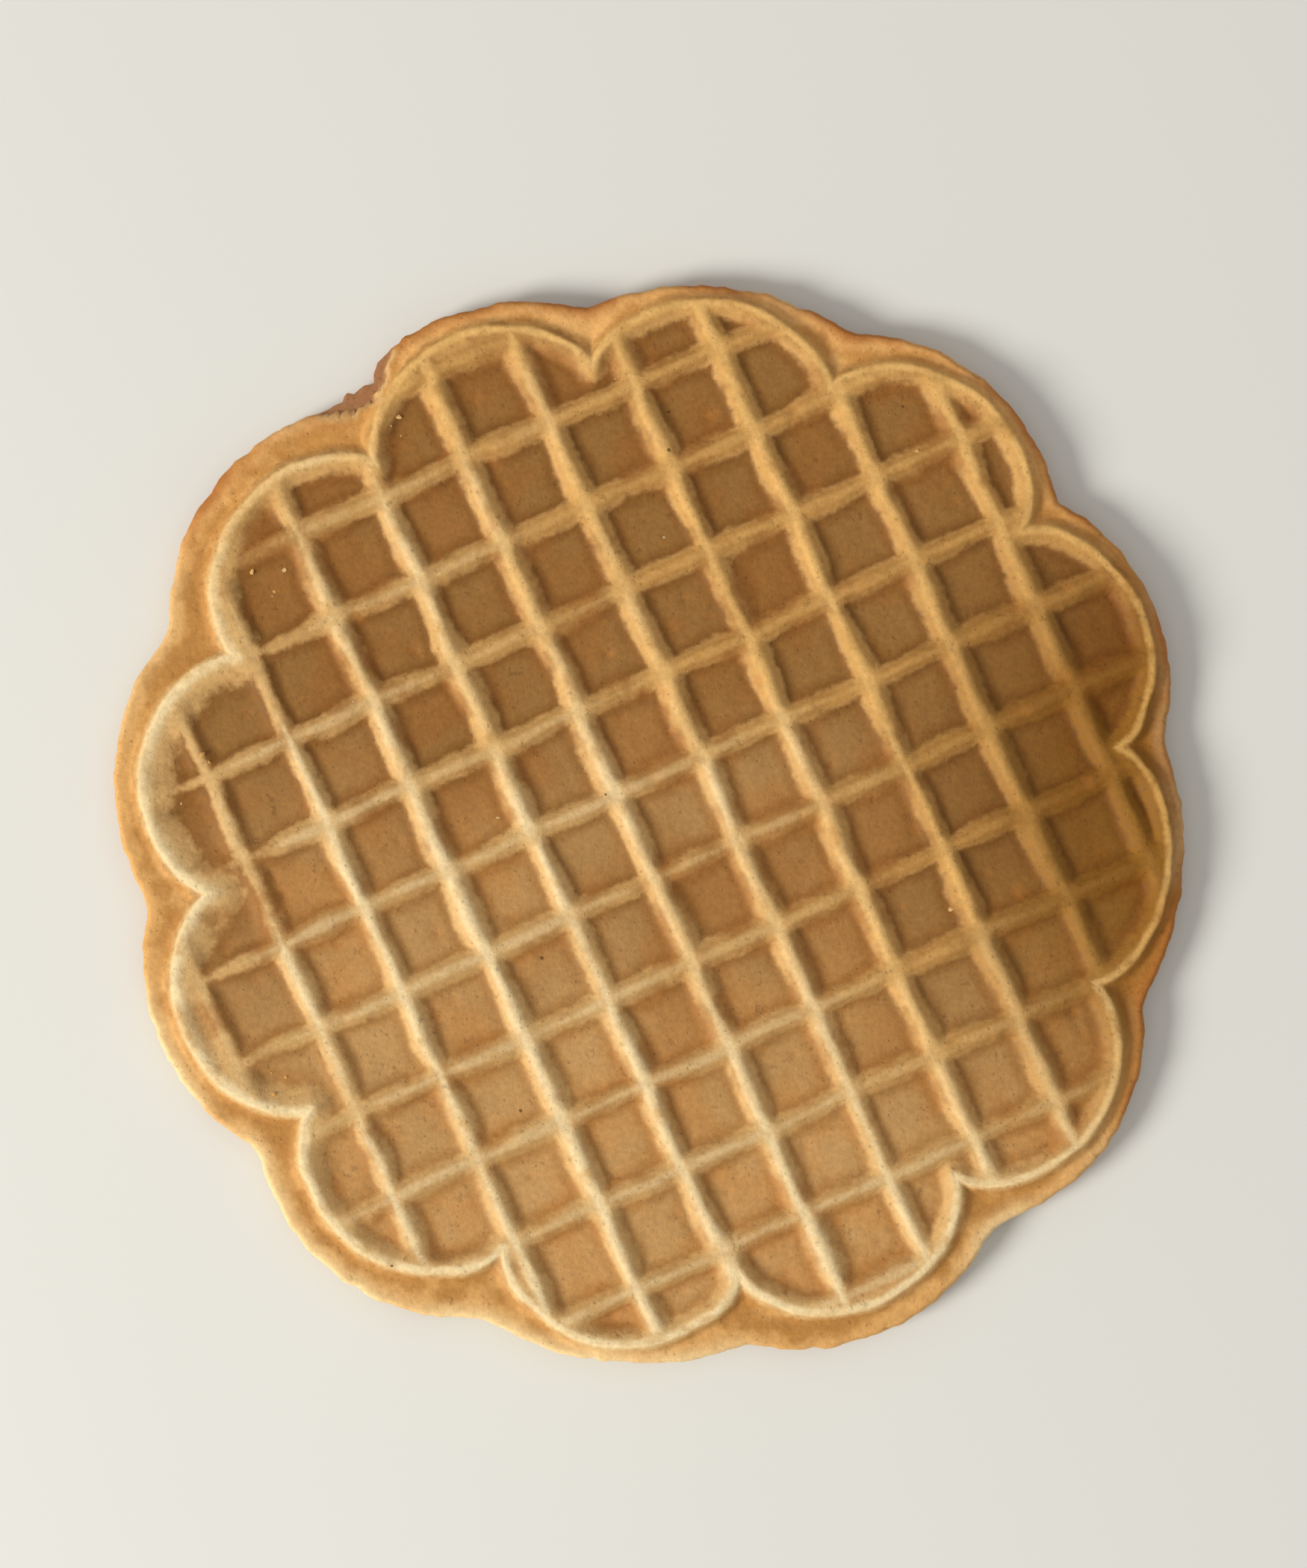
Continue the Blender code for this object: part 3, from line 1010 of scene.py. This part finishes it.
def buildCrumbs():
    # small flakes of the wafer that broke off its crests, lying on the upper face
    pick = random.Random(crumbs["seed"])
    x, y = crumbPlaces(pick)
    z = pressedFace(x, y, faceSeeds["top"], True)[0]
    flakes = bmesh.new()
    for px, py, pz in zip(x, y, z):
        radius = pick.uniform(*crumbs["size"]) * mm
        flake = bmesh.ops.create_icosphere(flakes, subdivisions=1, radius=radius)["verts"]
        squash = Vector([pick.uniform(*crumbs[way]) for way in ("long", "wide", "flat")])
        turn = Matrix.Rotation(pick.uniform(0, math.tau), 3, "Z")
        turn = turn @ Matrix.Rotation(pick.uniform(-crumbs["tilt"], crumbs["tilt"]), 3, "X")
        own = Vector((pick.uniform(0, 50), 0, 0))
        at = Vector((px + pattern["middle"][0], py + pattern["middle"][1], pz + level["middle"])) * mm
        for corner in flake:
            rough = noise.noise(corner.co / radius * crumbs["raggedScale"] + own)
            corner.co = at + turn @ (corner.co * squash * (1 + crumbs["ragged"] * rough))
    mesh = bpy.data.meshes.new("crumbs")
    flakes.to_mesh(mesh)
    flakes.free()
    print("crumbs:", len(x))
    return placed("crumbs", mesh)


def brokenWafer():
    material, tree, shader = newMaterial("brokenWafer", {"Roughness": 0.8, "Specular IOR Level": 0.2})
    where = addNode(tree, "ShaderNodeTexCoord", (-900, 0)).outputs["Object"]
    each, grain = crumbs["noises"]
    golden = mapRange(tree, (-500, 100), noiseNode(tree, (-700, 100), where, *each), *crumbs["tones"])
    colour = mixColours(tree, (-300, 100), golden, bake["ridgeGold"], bake["crumb"])
    tree.links.new(colour, shader.inputs["Base Color"])
    grain = noiseNode(tree, (-700, -200), where, *grain)
    tree.links.new(bumpNode(tree, (-300, -200), grain, *crumbs["bump"]), shader.inputs["Normal"])
    return material


spots = buildSpotGroup()
cookie = buildCookie()
cookie.data.materials.append(bakedWafer(spots))
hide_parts("pizzelle")
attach(cookie, "root")
flakes = buildCrumbs()
flakes.data.materials.append(brokenWafer())
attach(flakes, "root")
print("cookie finished")

# Floor and lights, in metres
studio = {
    "floorSize": 24.0,
    "floorColour": (0.76, 0.76, 0.72, 1.0),
    "floorRoughness": 0.85,
    "floorDrop": 0.00002,  # below the ridges that the cookie lies on
    "world": 0.43,
    "worldColour": (1.0, 0.985, 0.96, 1.0),
    "window": {"energy": 16.6, "size": 0.50, "colour": (1.0, 0.97, 0.92), "place": (-1.0, -0.45, 0.66)},
    "roomFill": {"energy": 0.9, "size": 0.8, "colour": (1.0, 0.93, 0.84), "place": (0.5, 0.5, 0.9)},
}

# The camera looks straight down. Lengths in mm.
view = {
    "place": (0.73, 4.81, 350.0),
    "tall": 184.0,  # what the picture takes in at the top of the cookie
    "sensor": 36.0,
    "nearest": 10.0,
}


def buildFloor():
    half = studio["floorSize"] / 2
    corners = [(-half, -half, 0), (half, -half, 0), (half, half, 0), (-half, half, 0)]
    mesh = bpy.data.meshes.new("table")
    mesh.from_pydata(corners, [], [(0, 1, 2, 3)])
    finish = {"Base Color": studio["floorColour"], "Roughness": studio["floorRoughness"]}
    mesh.materials.append(newMaterial("paleTable", finish)[0])
    table = placed("table", mesh)
    table.location.z = -studio["floorDrop"]


def softLight(name):
    settings = studio[name]
    light = bpy.data.lights.new(name, "AREA")
    light.shape = "DISK"
    light.size = settings["size"]
    light.energy = settings["energy"]
    light.color = settings["colour"]
    lamp = placed(name, light)
    lamp.location = settings["place"]
    lamp.rotation_euler = (-lamp.location).to_track_quat("-Z", "Y").to_euler()


def buildWorld():
    world = bpy.data.worlds.new("room")
    world.use_nodes = True
    background = world.node_tree.nodes["Background"]
    background.inputs["Color"].default_value = studio["worldColour"]
    background.inputs["Strength"].default_value = studio["world"]
    bpy.context.scene.world = world


def buildCamera():
    camera = bpy.data.cameras.new("above")
    camera.sensor_width = view["sensor"]
    camera.lens = view["sensor"] * (view["place"][2] - 2 * level["middle"]) / view["tall"]
    camera.clip_start = view["nearest"] * mm
    holder = placed("above", camera)
    holder.location = Vector(view["place"]) * mm
    bpy.context.scene.camera = holder


buildFloor()
softLight("window")
softLight("roomFill")
buildWorld()
bpy.context.scene.view_settings.view_transform = "Standard"
buildCamera()
print("light and camera set")
